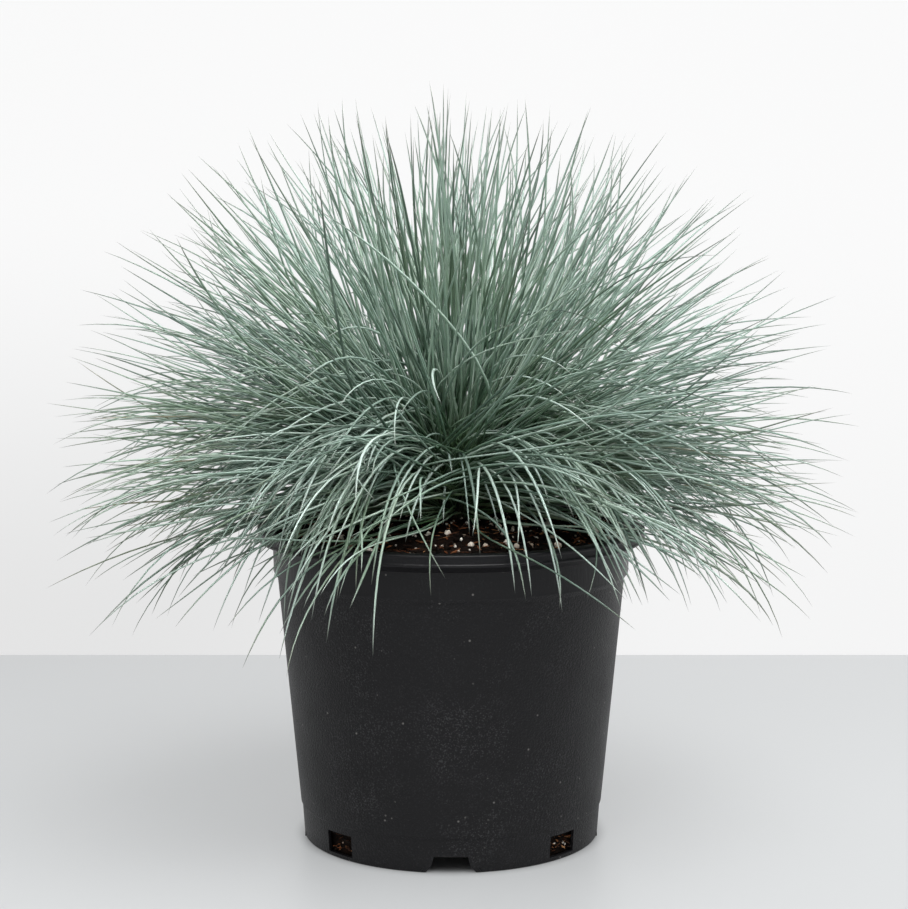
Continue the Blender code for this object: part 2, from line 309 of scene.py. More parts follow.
def sheath_finish():
    """Old leaf sheaths: straw and dull purple-brown below, green where leaves leave."""
    sheath = Surface("leaf_sheaths")
    along, tone, _, _ = sheath.traits()
    husk = sheath.ramp(tone, [
        (0.0, (0.050, 0.035, 0.022)),
        (0.6, (0.110, 0.085, 0.045)),
        (1.0, (0.200, 0.160, 0.085)),
    ])
    colour = sheath.mix(sheath.grade(along, 0.1, 0.9), husk, (0.045, 0.075, 0.030))
    streak = sheath.noise(sheath.place((1.0, 1.0, 0.08)), 900.0, 2.0)
    colour = sheath.mix(sheath.grade(streak, 0.35, 0.7), colour, (0.03, 0.03, 0.018))
    sheath.set(
        Base_Color=colour,
        Roughness=sheath.grade(streak, 0.3, 0.7, 0.6, 0.85),
        Normal=sheath.bump(streak, 0.4, 0.3 * MM),
    )
    return sheath.material


def soil_finish():
    """Dark peat, brown and red-brown on the crumbs, with painted shade that makes the hollows of its bump near
    black.
    """
    soil = Surface("dark_potting_mix")
    where = soil.place()
    crumbs = soil.noise(where, 420.0, 4.0, 0.65)
    patches = soil.noise(where, 60.0, 2.0)
    # The ramp follows the bump's height, so the hollows go near black: painted shade over the peat's own dark
    # brown.
    colour = soil.ramp(crumbs, [
        (0.34, (0.0010, 0.0007, 0.0005)),
        (0.54, (0.0045, 0.0026, 0.0016)),
        (0.68, (0.0200, 0.0095, 0.0050)),
        (0.80, (0.0800, 0.0400, 0.0210)),
    ])
    colour = soil.mix(soil.grade(patches, 0.4, 0.75, 0.0, 0.5), colour, (0.009, 0.0036, 0.0020))
    soil.set(
        Base_Color=colour,
        Roughness=soil.grade(crumbs, 0.3, 0.7, 0.75, 1.0),
        Normal=soil.bump(crumbs, 0.9, 1.2 * MM),
        Specular_IOR_Level=0.10,
    )
    return soil.material


def bark_finish():
    """Wood fibre and bark: each bit has its own shade of red-brown."""
    bark = Surface("bark_and_wood_fibre")
    _, tone, _, _ = bark.traits()
    wood = bark.ramp(tone, [
        (0.0, (0.010, 0.006, 0.004)),
        (0.45, (0.055, 0.020, 0.009)),
        (0.75, (0.260, 0.085, 0.032)),
        (1.0, (0.520, 0.260, 0.115)),
    ])
    fibre = bark.noise(bark.place(), 1300.0, 3.0)
    colour = bark.mix(bark.grade(fibre, 0.3, 0.7, 0.0, 0.6), wood, (0.012, 0.007, 0.004))
    bark.set(
        Base_Color=colour,
        Roughness=bark.grade(fibre, 0.3, 0.7, 0.7, 0.95),
        Normal=bark.bump(fibre, 0.5, 0.3 * MM),
        Specular_IOR_Level=0.20,
    )
    return bark.material


def perlite_finish():
    """Porous white and cream grains, some stained by the peat."""
    perlite = Surface("perlite")
    _, tone, _, _ = perlite.traits()
    where = perlite.place()
    pores = perlite.noise(where, 1800.0, 3.0, 0.6)
    white = perlite.ramp(tone, [
        (0.0, (0.30, 0.20, 0.14)),
        (0.35, (0.66, 0.56, 0.46)),
        (1.0, (0.92, 0.88, 0.80)),
    ])
    stain = perlite.noise(where, 500.0, 2.0)
    colour = perlite.mix(perlite.grade(stain, 0.55, 0.75, 0.0, 0.6), white, (0.16, 0.09, 0.05))
    perlite.set(
        Base_Color=colour,
        Roughness=perlite.grade(pores, 0.3, 0.7, 0.7, 0.95),
        Normal=perlite.bump(pores, 0.6, 0.4 * MM),
    )
    return perlite.material


def plastic_finish():
    """Black moulded plastic: smooth at the rim, pebbled on the wall, with rubs and dust."""
    plastic = Surface("black_pot_plastic")
    where = plastic.place()
    height = plastic.node("ShaderNodeSeparateXYZ", {0: where}, out="Z")
    wall = plastic.grade(height, COLLAR_BOTTOM + 1.0 * MM, COLLAR_BOTTOM - 1.0 * MM)
    pebbles = plastic.noise(where, 1150.0, 2.0, 0.6)
    upright = plastic.place((1.0, 1.0, 0.12))
    rubs = plastic.noise(upright, 700.0, 3.0, 0.7)
    patches = plastic.noise(where, 26.0, 3.0)
    worn = plastic.grade(rubs, 0.60, 0.80) * plastic.grade(patches, 0.42, 0.62)
    colour = plastic.mix(worn * 0.6, (0.0036, 0.0033, 0.0043), (0.024, 0.023, 0.026))
    glints = plastic.noise(where, 1500.0, 1.0) + 0.25 * plastic.noise(where, 90.0, 2.0)
    glints = plastic.grade(glints, 0.66, 0.86) * (0.25 + 0.75 * wall)
    glints = glints * plastic.grade(patches, 0.40, 0.62, 0.3, 1.0)
    colour = plastic.mix(glints * 0.55, colour, (0.066, 0.066, 0.069))
    cells = {"Vector": where, "Scale": 260.0, "Randomness": 1.0}
    speck = plastic.node("ShaderNodeTexVoronoi", cells, out="Distance", feature="F1")
    clean = plastic.noise(where, 140.0, 1.0)
    foot = plastic.grade(height, FOOT_STEP + 12 * MM, FOOT_STEP - 4 * MM)
    dust = plastic.grade(speck, 0.16, 0.06) * plastic.grade(clean + 0.06 * foot, 0.62, 0.70)
    colour = plastic.mix(dust * 0.7, colour, (0.22, 0.21, 0.20))
    plastic.set(
        Base_Color=colour,
        Roughness=plastic.grade(patches, 0.3, 0.7, 0.34, 0.44) + wall * 0.08 + worn * 0.12,
        Normal=plastic.bump(pebbles * wall + 0.3 * rubs, 1.0, 0.45 * MM),
        Specular_IOR_Level=0.28,
    )
    return plastic.material


def stage_finish(name, colour, roughness, glow, dim, far_axis, far, near, shaded_radius=0.0):
    """A plain glowing surface, with painted shade that falls off gently to the left and towards its far end, and,
    given a shaded radius, a painted contact shadow inside it.
    """
    stage = Surface(name)
    where = stage.place()
    across = stage.node("ShaderNodeSeparateXYZ", {0: where}, out="X")
    depth = stage.node("ShaderNodeSeparateXYZ", {0: where}, out=far_axis)
    shade = stage.grade(across, 0.45, -0.45, 0.25, 1.0) * stage.grade(depth, near, far)
    tone = stage.mix(shade, colour, tuple(dim * part for part in colour))
    light = tone
    if shaded_radius:
        # Inside the shaded radius, under the pot, the glow fades to black: a painted contact shadow.
        radius = stage.node("ShaderNodeVectorMath", {0: where}, out="Value", operation="LENGTH")
        open_part = stage.grade(radius, shaded_radius - 7 * MM, shaded_radius + 6 * MM)
        light = stage.mix(open_part, (0.0, 0.0, 0.0), tone)
    stage.set(Base_Color=tone, Emission_Color=light, Roughness=roughness, Emission_Strength=glow)
    return stage.material


def object_from_bmesh(bm, name, material=None):
    mesh = bpy.data.meshes.new(name)
    bm.to_mesh(mesh)
    bm.free()
    if material:
        mesh.materials.append(material)
    item = bpy.data.objects.new(name, mesh)
    bpy.context.scene.collection.objects.link(item)
    return item


def mesh_from_arrays(name, points, faces, material):
    """A mesh from an array of points and arrays of faces with 3 or 4 corners."""
    mesh = bpy.data.meshes.new(name)
    corners = np.concatenate([group.ravel() for group in faces])
    sizes = np.concatenate([np.full(len(group), group.shape[1]) for group in faces])
    starts = np.concatenate([[0], np.cumsum(sizes)[:-1]])
    mesh.vertices.add(len(points))
    mesh.vertices.foreach_set("co", points.astype(np.float32).ravel())
    mesh.loops.add(len(corners))
    mesh.loops.foreach_set("vertex_index", corners.astype(np.int32))
    mesh.polygons.add(len(sizes))
    mesh.polygons.foreach_set("loop_start", starts.astype(np.int32))
    mesh.update(calc_edges=True)
    mesh.shade_smooth()
    mesh.materials.append(material)
    item = bpy.data.objects.new(name, mesh)
    bpy.context.scene.collection.objects.link(item)
    return item


def give_traits(item, along, tone, dryness, upper):
    """What the finishes read at each point: share of the length, shade, dryness, upper side."""
    values = np.stack([along, tone, dryness, upper], axis=1).astype(np.float32)
    attribute = item.data.attributes.new("traits", "FLOAT_COLOR", "POINT")
    attribute.data.foreach_set("color", values.ravel())


def joined_strands(name, spines, sideways, widths, heights, sides, tone, dryness, material):
    """Closed, pointed strands in one mesh.

    spines holds each strand's points from foot to point, sideways each strand's level
    direction across it, and widths and heights its half sizes at those points.
    """
    strands, stations = spines.shape[:2]
    rings = stations - 1
    shares = STATIONS if stations == len(STATIONS) else np.linspace(0.0, 1.0, stations)
    ahead = np.gradient(spines, axis=1)
    ahead /= np.linalg.norm(ahead, axis=2, keepdims=True)
    across = np.broadcast_to(sideways[:, None, :], spines.shape)
    across = across - ahead * np.sum(across * ahead, axis=2, keepdims=True)
    across /= np.linalg.norm(across, axis=2, keepdims=True)
    above = np.cross(ahead, across)
    turn = FULL_TURN * (np.arange(sides) + 0.5) / sides
    out = across[:, :, None, :] * (widths[:, :, None] * np.cos(turn))[..., None]
    out = out + above[:, :, None, :] * (heights[:, :, None] * np.sin(turn))[..., None]
    body = (spines[:, :, None, :] + out)[:, :rings].reshape(strands, rings * sides, 3)
    points = np.concatenate([body, spines[:, -1:, :]], axis=1)
    each = rings * sides + 1

    ring, side = np.meshgrid(np.arange(rings - 1), np.arange(sides), indexing="ij")
    after = (side + 1) % sides
    low, high = ring * sides, (ring + 1) * sides
    walls = np.stack([low + side, low + after, high + after, high + side], axis=-1).reshape(-1, 4)
    last = (rings - 1) * sides
    side, after = side[0], after[0]
    tips = np.stack([last + side, last + after, np.full(sides, each - 1)], axis=-1)
    base = np.arange(sides)[::-1][None, :]
    offsets = (np.arange(strands) * each)[:, None, None]
    faces = [(group[None] + offsets).reshape(-1, group.shape[1]) for group in (walls, tips, base)]
    item = mesh_from_arrays(name, points.reshape(-1, 3), faces, material)

    along = np.append(np.repeat(shares[:-1], sides), 1.0)
    upper = np.append(np.tile(0.5 + 0.5 * np.sign(np.sin(turn)), rings), 0.5)
    give_traits(
        item, np.tile(along, strands), np.repeat(tone, each), np.repeat(dryness, each),
        np.tile(upper, strands),
    )
    lay_out_strands(item, strands, rings, sides)
    return item


def lay_out_strands(item, strands, rings, sides):
    """A map in which each side of each strand is a narrow upright strip of its own."""
    gap = 0.12
    foot = 0.03
    strand = np.arange(strands)[:, None, None]
    side = np.arange(sides)[None, None, :]
    ring = np.arange(rings - 1)[None, :, None]
    total = strands * sides
    left = (strand * sides + side + gap) / total
    right = (strand * sides + side + 1 - gap) / total
    low = foot + (1 - foot) * ring / rings
    high = foot + (1 - foot) * (ring + 1) / rings
    shape = (strands, rings - 1, sides)
    corners = [(left, low), (right, low), (right, high), (left, high)]
    walls = np.stack([np.stack([np.broadcast_to(u, shape), np.broadcast_to(v, shape)], axis=-1)
                      for u, v in corners], axis=-2)
    left, right = left[:, 0], right[:, 0]
    low = np.full_like(left, foot + (1 - foot) * (rings - 1) / rings)
    tips = np.stack([np.stack([u, v], axis=-1) for u, v in (
        (left, low), (right, low), ((left + right) / 2, np.ones_like(left)))], axis=-2)
    turn = FULL_TURN * (np.arange(sides)[::-1] + 0.5) / sides
    middle = (np.arange(strands)[:, None] + 0.5) / strands
    base = np.stack([middle + 0.4 / strands * np.cos(turn),
                     np.broadcast_to(0.4 * foot * (1 + np.sin(turn)), (strands, sides))], axis=-1)
    places = np.concatenate([part.reshape(-1, 2) for part in (walls, tips, base)])
    layer = item.data.uv_layers.new(name="OFBake")
    layer.uv.foreach_set("vector", places.astype(np.float32).ravel())


def heading(polar, azimuth):
    """Unit vectors at an angle from straight up, towards a compass azimuth."""
    across = np.sin(polar)
    return np.stack([across * np.cos(azimuth), across * np.sin(azimuth), np.cos(polar)], axis=-1)


def tuft_headings():
    share = (np.arange(TUFTS) + 0.5) / TUFTS
    polar = np.arccos(1.0 - share * (1.0 - math.cos(LOWEST_TUFT)))
    return heading(polar, np.arange(TUFTS) * GOLDEN_ANGLE)


def smooth(value, low, high):
    share = np.clip((value - low) / (high - low), 0.0, 1.0)
    return share * share * (3 - 2 * share)


def blade_paths(traits):
    """Leaves leave the crown more upright, fan out in its first few cm, then bend down."""
    length = traits["length"]
    share = STATIONS[None, :]
    upright = traits["upright"][:, None]
    fan = upright + (1 - upright) * smooth(share, 0.0, (traits["fan_end"] / length)[:, None])
    power = traits["power"][:, None]
    place = traits["place"][:, None] ** power
    droop = traits["droop"][:, None] * (1 + place) * share ** power / (share ** power + place)
    sway = traits["sway"][:, None] * share ** 1.5
    cross = traits["cross"][:, None] * (1 - smooth(share, 0.0, 0.3))
    wave = traits["wave"][:, None] * np.sin(FULL_TURN * (share + traits["phase"][:, None]))
    azimuth = traits["azimuth"][:, None] + cross + sway + wave
    ahead = heading(traits["polar"][:, None] * fan + droop + 0.6 * wave, azimuth)
    ahead = ahead + traits["stray"][:, None] * share[..., None] ** 1.3
    ahead = ahead + traits["tangle"][:, None] * (1 - smooth(share, 0.1, 0.6))[..., None]
    ahead /= np.linalg.norm(ahead, axis=2, keepdims=True)
    middle = (ahead[:, 1:] + ahead[:, :-1]) / 2
    steps = middle * (np.diff(STATIONS) * length[:, None])[..., None]
    foot_azimuth = traits["azimuth"] + traits["foot_turn"]
    foot_radius = traits["foot_radius"] * np.sin(np.clip(traits["polar"], 0.05, 1.57)) ** 0.6
    foot = np.stack([
        foot_radius * np.cos(foot_azimuth),
        foot_radius * np.sin(foot_azimuth),
        CROWN_CENTRE - traits["foot_sink"],
    ], axis=-1)
    return np.cumsum(np.concatenate([foot[:, None], steps], axis=1), axis=1)


def even_headings(chance, count, lowest, jitter):
    """Polar angles and azimuths spread evenly from straight up down to the lowest."""
    index = np.arange(count)
    polar = np.arccos(1.0 - (index + 0.5) / count * (1.0 - math.cos(lowest)))
    polar = np.abs(polar + np.radians(chance.normal(0, jitter, count)))
    azimuth = index * GOLDEN_ANGLE + np.radians(chance.normal(0, 2 * jitter, count))
    return polar, azimuth


def lowness_of(polar):
    return np.sin(np.minimum(polar, math.pi / 2)) ** LOWNESS_POWER


def off_side(azimuth, side):
    """Angle between an azimuth and one side of the clump, without its sign."""
    return np.abs((azimuth - side + math.pi) % FULL_TURN - math.pi)


def dome_traits(chance):
    """Stiff leaves that radiate over the whole dome and bend only a little."""
    polar, azimuth = even_headings(chance, DOME_BLADES, math.radians(82), 7.5)
    lowness = lowness_of(polar)
    towards_front = np.exp(-(off_side(azimuth, FRONT) / math.radians(50)) ** 4)
    kept = chance.random(DOME_BLADES) > 0.95 * towards_front * smooth(np.degrees(polar), 22, 44)
    return dict(
        polar=polar[kept],
        azimuth=azimuth[kept],
        droop=np.radians(chance.normal(3, 15, DOME_BLADES)
                         + 44 * lowness * chance.uniform(0.3, 1.5, DOME_BLADES))[kept],
        power=chance.uniform(1.2, 2.4, DOME_BLADES)[kept],
        place=np.full(DOME_BLADES, LATE)[kept],
        length=((TOP_LEAF + 11 * MM) * (1.0 - 0.34 * chance.beta(1.0, 1.8, DOME_BLADES))
                * (1.0 + 0.035 * smooth(np.degrees(polar), 8, 28)))[kept],
        pale=np.zeros(DOME_BLADES)[kept],
        loose=np.ones(DOME_BLADES)[kept],
        choosy=np.zeros(DOME_BLADES)[kept],
    )


def skirt_traits(chance):
    """Low leaves that spread over the rim, and hang past it in front."""
    count = SKIRT_BLADES
    polar = np.radians(chance.uniform(58, 88, count))
    azimuth = chance.random(count) * FULL_TURN
    bend = chance.random(count)
    droop = np.radians(8 + 50 * bend ** 1.4)
    length = SKIRT_LEAF * (0.98 - 0.36 * chance.beta(1.2, 1.8, count)) * (1 - 0.12 * bend)
    frontal = np.exp(-(off_side(azimuth, FRONT) / math.radians(42)) ** 2)
    kept = chance.random(count) > 0.97 * np.exp(-(off_side(azimuth, CLEAR_SIDE) / CLEAR_SPREAD) ** 4)
    return dict(
        polar=(polar - math.radians(12) * frontal)[kept],
        azimuth=azimuth[kept],
        droop=(droop + math.radians(30) * frontal)[kept],
        power=chance.uniform(0.8, 1.7, count)[kept],
        place=np.full(count, LATE)[kept],
        length=(length * (1.0 - 0.20 * frontal))[kept],
        pale=chance.uniform(0.0, 0.12, count)[kept],
        loose=np.ones(count)[kept],
        choosy=np.zeros(count)[kept],
    )


def arching_traits(chance):
    """Softer leaves that rise, turn over and hang their points outwards."""
    count = ARCHING_BLADES
    azimuth = chance.random(count) * FULL_TURN
    kept = chance.random(count) > 0.9 * np.exp(-(off_side(azimuth, FRONT) / math.radians(55)) ** 2)
    return dict(
        polar=np.radians(chance.uniform(-5, 45, count))[kept],
        azimuth=azimuth[kept],
        droop=np.radians(chance.uniform(85, 135, count))[kept],
        power=np.full(count, ARCH_SHARPNESS)[kept],
        place=chance.uniform(0.35, 0.85, count)[kept],
        length=(chance.uniform(100, 170, count) * MM)[kept],
        pale=chance.uniform(0.0, 0.2, count)[kept],
        loose=np.ones(count)[kept],
        choosy=np.zeros(count)[kept],
    )


def front_arch_traits(chance):
    """A fountain of loose leaves in front, with a gap over the soil that only short ones cross."""
    count = FRONT_ARCHES
    azimuth = FRONT + np.radians(chance.uniform(-100, 100, count))
    length = chance.uniform(60, 165, count) * MM
    short = (length < 85 * MM) & (chance.random(count) < 0.4)
    kept = (off_side(azimuth, CLEAR_SIDE) > math.radians(26)) | short
    return dict(
        polar=np.radians(chance.uniform(0, 50, count))[kept],
        azimuth=azimuth[kept],
        droop=np.radians(chance.uniform(80, 140, count))[kept],
        power=chance.uniform(1.7, 2.6, count)[kept],
        place=chance.uniform(0.4, 0.85, count)[kept],
        length=length[kept],
        pale=chance.uniform(0.0, 0.3, count)[kept],
        loose=np.full(count, 0.5)[kept],
        choosy=np.ones(count)[kept],
    )


def rim_arch_traits(chance):
    """Leaves to the left and right of the gap that reach over the rim and hang past it."""
    count = RIM_ARCHES
    side = chance.uniform(20, 80, count) * np.where(chance.random(count) < 0.5, 1, -1)
    return dict(
        polar=np.radians(chance.uniform(36, 60, count)),
        azimuth=FRONT + np.radians(side),
        droop=np.radians(chance.uniform(72, 112, count)),
        power=chance.uniform(1.8, 2.8, count),
        place=chance.uniform(0.5, 0.75, count),
        length=chance.uniform(125, 168, count) * MM,
        pale=chance.uniform(0.0, 0.3, count),
        loose=np.full(count, 0.4),
        choosy=np.ones(count),
    )


def front_traits(chance):
    """The leaves that stand out one by one in front, as listed at the top."""
    side, lean, bend, place, length = np.array(FRONT_LEAVES, dtype=float).T
    count = len(side)
    return dict(
        polar=np.radians(lean),
        azimuth=FRONT + np.radians(side),
        droop=np.radians(bend),
        power=np.full(count, ARCH_SHARPNESS),
        place=place,
        length=length * MM,
        pale=chance.uniform(0.1, 0.38, count),
        loose=np.full(count, 0.15),
        choosy=np.zeros(count),
    )


def meets_pot(spines):
    """Which leaves would cut into the rim, the wall or the soil beyond the crown."""
    radius = np.hypot(spines[..., 0], spines[..., 1])
    height = spines[..., 2]
    near_rim = (radius < RIM_RADIUS + 1.5 * MM) & (height < POT_HEIGHT + 1.5 * MM)
    share = np.minimum(radius / (COLLAR_RADIUS - WALL), 1.0)
    ground = SOIL_EDGE_HEIGHT + SOIL_HEAP * (1.0 - share ** SOIL_HEAP_POWER) + 1.5 * MM
    on_soil = (radius < COLLAR_RADIUS) & (height < ground)
    return ((near_rim | on_soil) & (radius > 16 * MM)).any(axis=1)


def make_leaves(leaf):
    """Every tuft as its own bundle of fine leaves."""
    chance = np.random.default_rng(SEED)
    makers = (
        dome_traits, skirt_traits, arching_traits, front_arch_traits, rim_arch_traits, front_traits,
    )
    kinds = [maker(chance) for maker in makers]
    traits = {key: np.concatenate([kind[key] for kind in kinds]) for key in kinds[0]}
    count = len(traits["polar"])
    loose = traits["loose"]
    traits["upright"] = chance.uniform(0.2, 0.6, count) + 0.3 * smooth(traits["polar"], 1.2, 1.5)
    traits["fan_end"] = chance.uniform(24, 55, count) * MM
    traits["sway"] = np.radians(chance.normal(0, 24.0, count)) * loose
    traits["foot_radius"] = chance.uniform(0.2, 1.0, count) * NECK_RADIUS
    traits["foot_turn"] = np.radians(chance.normal(0, 50.0, count)) * loose
    traits["cross"] = np.radians(chance.normal(0, 50.0, count)) * loose
    traits["wave"] = np.radians(chance.normal(0, 4.5, count)) * loose
    traits["phase"] = chance.random(count)
    traits["stray"] = chance.normal(0, 0.17, (count, 3)) * loose[:, None]
    traits["tangle"] = chance.normal(0, 0.20, (count, 3)) * loose[:, None]
    traits["foot_sink"] = chance.uniform(2, 6, count) * MM
    fitting = ~(meets_pot(blade_paths(traits)) & (traits["choosy"] > 0))
    traits = {key: values[fitting] for key, values in traits.items()}
    count = len(traits["polar"])
    spines = blade_paths(traits)
    for _ in range(30):
        cutting = meets_pot(spines)
        traits["polar"] = np.where(cutting, traits["polar"] - math.radians(2), traits["polar"])
        traits["droop"] = np.where(cutting, traits["droop"] * 0.97, traits["droop"])
        spines = blade_paths(traits)
    reach = np.hypot(spines[..., 0], spines[..., 1]).max(axis=1)
    traits["length"] = traits["length"] * np.minimum(1.0, WIDEST_REACH / reach)
    spines = blade_paths(traits)
    polar, azimuth = traits["polar"], traits["azimuth"]

    taper = (1 - STATIONS ** 9) ** 0.9
    half_width = (chance.uniform(0.43, 0.71, count) + 0.2 * traits["pale"]) * MM
    widths = half_width[:, None] * taper
    sideways = np.stack([-np.sin(azimuth), np.cos(azimuth), np.zeros(count)], axis=-1)
    high = 1 - smooth(polar, 0.35, 1.0)
    # Leaf tone: random, plus painted light and shade. Upright leaves are a little lighter, low leaves darker, and
    # leaves that arch out are lighter by their pale share.
    tone = chance.normal(0.53, 0.40, count) + 0.08 * high - 0.34 * lowness_of(polar) + traits["pale"]
    tone = np.clip(tone, 0, 1)
    tinge = 0.25 * chance.random(count) ** 2
    dry = np.where(chance.random(count) < 0.03, chance.uniform(0.4, 0.8, count), tinge)
    dry = dry * smooth(polar, math.radians(66), math.radians(80))
    dry = dry * smooth(off_side(azimuth, FRONT), math.radians(40), math.radians(60))

    nearest = np.argmax(heading(polar, azimuth) @ tuft_headings().T, axis=1)
    for tuft in range(TUFTS):
        mine = nearest == tuft
        bundle = joined_strands(
            f"leaves_{tuft + 1:02d}", spines[mine], sideways[mine], widths[mine],
            0.8 * widths[mine], BLADE_SIDES, tone[mine], dry[mine], leaf,
        )
        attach(bundle, "root")
        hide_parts(f"tuft_{tuft + 1:02d}")


def make_crown(sheath):
    """Short old sheaths packed round the crown, from which the leaves rise."""
    chance = np.random.default_rng(SEED + 1)
    count = 260
    polar = np.arccos(1 - chance.random(count) * (1 - math.cos(1.45)))
    azimuth = chance.random(count) * FULL_TURN
    length = chance.uniform(9, 20, count) * MM
    spines = blade_paths(dict(
        polar=polar, azimuth=azimuth, length=length, droop=np.zeros(count),
        power=np.ones(count), place=np.full(count, LATE), upright=np.full(count, 0.5), fan_end=length, sway=np.zeros(count),
        foot_radius=np.full(count, CROWN_RADIUS), foot_turn=np.zeros(count),
        foot_sink=np.full(count, 4 * MM),
        cross=np.zeros(count), wave=np.zeros(count), phase=np.zeros(count),
        stray=np.zeros((count, 3)), tangle=np.zeros((count, 3)),
    ))
    spines[:, :, 2] -= 2.0 * MM
    widths = chance.uniform(0.7, 1.3, count)[:, None] * MM * (1 - 0.9 * STATIONS ** 2)
    sideways = np.stack([-np.sin(azimuth), np.cos(azimuth), np.zeros(count)], axis=-1)
    crown = joined_strands(
        "crown_sheaths", spines, sideways, widths, widths, 5,
        chance.random(count), np.zeros(count), sheath,
    )
    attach(crown, "root")
    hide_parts("fescue_crown")


def soil_height(radius):
    share = min(radius / (COLLAR_RADIUS - WALL), 1.0)
    return SOIL_EDGE_HEIGHT + SOIL_HEAP * (1.0 - share ** SOIL_HEAP_POWER)


def soil_rise(x, y):
    """Lumps of the surface, coarse to fine, over the heap's own height."""
    radius = math.hypot(x, y)
    coarse = noise.noise(Vector((x, y, 0.0)) / SOIL_LUMP_SIZE)
    from_crown = min(max((radius - LUMPS_FROM) / LUMP_FADE, 0.0), 1.0)
    from_wall = min(max((COLLAR_RADIUS - radius) / LUMP_FADE, 0.0), 1.0)
    rise = SOIL_LUMP * coarse * from_crown * from_wall
    rise += 1.3 * MM * noise.noise(Vector((x, y, 0.02)) / (3.4 * MM))
    rise += 0.6 * MM * noise.noise(Vector((x, y, 0.05)) / (1.5 * MM))
    return rise


def joined_or_cut(body, tools, name):
    """Applies one Boolean for each tool, and leaves one finished object."""
    for tool, operation in tools:
        boolean = body.modifiers.new(tool.name, "BOOLEAN")
        boolean.operation = operation
        boolean.solver = "EXACT"
        boolean.object = tool
    graph = bpy.context.evaluated_depsgraph_get()
    mesh = bpy.data.meshes.new_from_object(body.evaluated_get(graph))
    mesh.name = name
    for item in [body] + [tool for tool, _ in tools]:
        bpy.data.objects.remove(item, do_unlink=True)
    finished = bpy.data.objects.new(name, mesh)
    bpy.context.scene.collection.objects.link(finished)
    return finished


def make_soil(soil_material):
    top_radius = COLLAR_RADIUS - WALL - SOIL_GAP
    bm = bmesh.new()
    top = [(top_radius * ring / SOIL_RINGS) for ring in range(SOIL_RINGS + 1)]
    outline = [(radius, soil_height(radius)) for radius in top]
    side_top = (top_radius, COLLAR_INNER_BOTTOM)
    side_step = (BODY_TOP_RADIUS - WALL - SOIL_GAP, BODY_TOP)
    side_foot = (INNER_FOOT_RADIUS - SOIL_GAP, FLOOR_THICKNESS + 0.3 * MM)
    outline += [side_top, side_step]
    band = 14 * MM
    slope = (side_step[0] - side_foot[0]) / (side_step[1] - side_foot[1])
    for ring in range(17):
        height = band + (side_foot[1] - band) * ring / 16
        outline.append((side_foot[0] + slope * (height - side_foot[1]), height))
    recess = RECESS_RADIUS + RECESS_SKIN + SOIL_GAP
    outline += [
        (recess + RECESS_SLOPE, FLOOR_THICKNESS + 0.3 * MM),
        (recess, RECESS_HEIGHT + FLOOR_THICKNESS + 0.3 * MM),
        (0.0, RECESS_HEIGHT + FLOOR_THICKNESS + 0.3 * MM),
    ]
    corners = [bm.verts.new((radius, 0.0, height)) for radius, height in outline]
    edges = [bm.edges.new(pair) for pair in zip(corners, corners[1:])]
    bmesh.ops.spin(
        bm, geom=corners + edges, cent=(0, 0, 0), axis=(0, 0, 1),
        angle=FULL_TURN, steps=SOIL_STEPS, use_merge=True,
    )
    bmesh.ops.remove_doubles(bm, verts=bm.verts, dist=0.01 * MM)
    for vert in bm.verts:
        x, y, z = vert.co
        if z > COLLAR_INNER_BOTTOM + 1 * MM:
            vert.co.z += soil_rise(x, y)
        elif FLOOR_THICKNESS + 0.5 * MM < z < band + 0.1 * MM and math.hypot(x, y) > 60 * MM:
            dent = abs(noise.noise(vert.co / (2.6 * MM))) + 0.5 * abs(noise.noise(vert.co / (1.2 * MM)))
            vert.co.xy *= 1 - 1.6 * MM * dent / FOOT_RADIUS
    bmesh.ops.recalc_face_normals(bm, faces=bm.faces)
    for face in bm.faces:
        face.smooth = True
    block = object_from_bmesh(bm, "soil_block", soil_material)
    tunnel_space = radial_bars(
        "tunnel_space", TUNNEL_WALL + SOIL_GAP, TUNNEL_BOTTOM, CHANNEL_INNER_END, FOOT_RADIUS,
    )
    soil = joined_or_cut(block, [(tunnel_space, "DIFFERENCE")], "potting_mix")
    soil.data.shade_smooth()
    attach(soil, "root")
    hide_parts("potting_soil")


def joined_lumps(name, centres, sizes, chance, level, tone, material):
    """Irregular grains in one mesh, each a dented ball stretched its own way."""
    bm = bmesh.new()
    bmesh.ops.create_icosphere(bm, subdivisions=level, radius=1.0)
    ball = np.array([vert.co for vert in bm.verts])
    triangles = np.array([[vert.index for vert in face.verts] for face in bm.faces])
    bm.free()
    count = len(centres)
    dents = 1 + chance.uniform(-0.22, 0.22, (count, len(ball), 1))
    stretch = chance.uniform(0.65, 1.25, (count, 1, 3))
    grains = ball[None] * dents * stretch * sizes[:, None, None]
    angle = chance.random(count) * FULL_TURN
    turned = np.stack([
        grains[:, :, 0] * np.cos(angle)[:, None] - grains[:, :, 1] * np.sin(angle)[:, None],
        grains[:, :, 0] * np.sin(angle)[:, None] + grains[:, :, 1] * np.cos(angle)[:, None],
        grains[:, :, 2],
    ], axis=-1)
    points = (turned + centres[:, None]).reshape(-1, 3)
    faces = (triangles[None] + (np.arange(count) * len(ball))[:, None, None]).reshape(-1, 3)
    item = mesh_from_arrays(name, points, [faces], material)
    each = np.repeat(tone, len(ball))
    nothing = np.zeros(len(each))
    give_traits(item, nothing, each, nothing, nothing)
    return item


def scatter_on_soil(chance, count, inner, outer, sink):
    """Points spread over the soil's top, shifted up by sink."""
    radius = np.sqrt(chance.uniform(inner ** 2, outer ** 2, count))
    angle = chance.random(count) * FULL_TURN
    x, y = radius * np.cos(angle), radius * np.sin(angle)
    z = np.array([soil_height(r) + soil_rise(a, b) for r, a, b in zip(radius, x, y)])
    return np.stack([x, y, z + sink], axis=-1)


